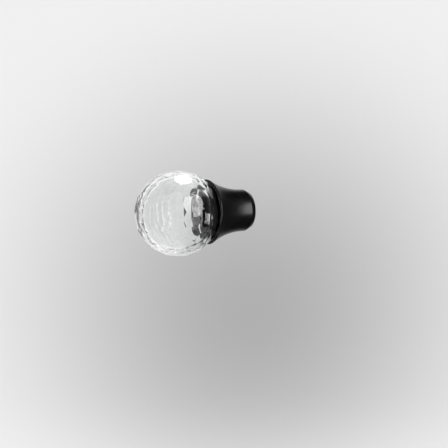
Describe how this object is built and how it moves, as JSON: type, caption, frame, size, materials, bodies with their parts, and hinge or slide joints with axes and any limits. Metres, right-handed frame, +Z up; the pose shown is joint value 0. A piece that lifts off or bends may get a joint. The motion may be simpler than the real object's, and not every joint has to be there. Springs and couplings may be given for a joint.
{
  "type": "curtain pole finial",
  "caption": "Curtain pole end finial: a hollow clear faceted ball seated in a satin black trumpet collar that slips over the pole and is clamped by a grub screw.",
  "frame": {"origin": "centre of the collar's open end, where the pole goes in", "axes": "+X along the pole, out of the socket; the ball lies towards -X; +Z up, with the grub screw underneath"},
  "size_m": [0.0842, 0.0594, 0.0598],
  "materials": {
    "clear_acrylic": "clear polished acrylic, water-white, flat facets outside and a smooth hollow inside",
    "black_coat": "satin black powder coat on turned aluminium",
    "black_steel": "black oxide steel"
  },
  "bodies": {
    "root": {"crystal_ball": "clear_acrylic", "collar": "black_coat", "grub_screw": "black_steel"}
  },
  "joints": []
}
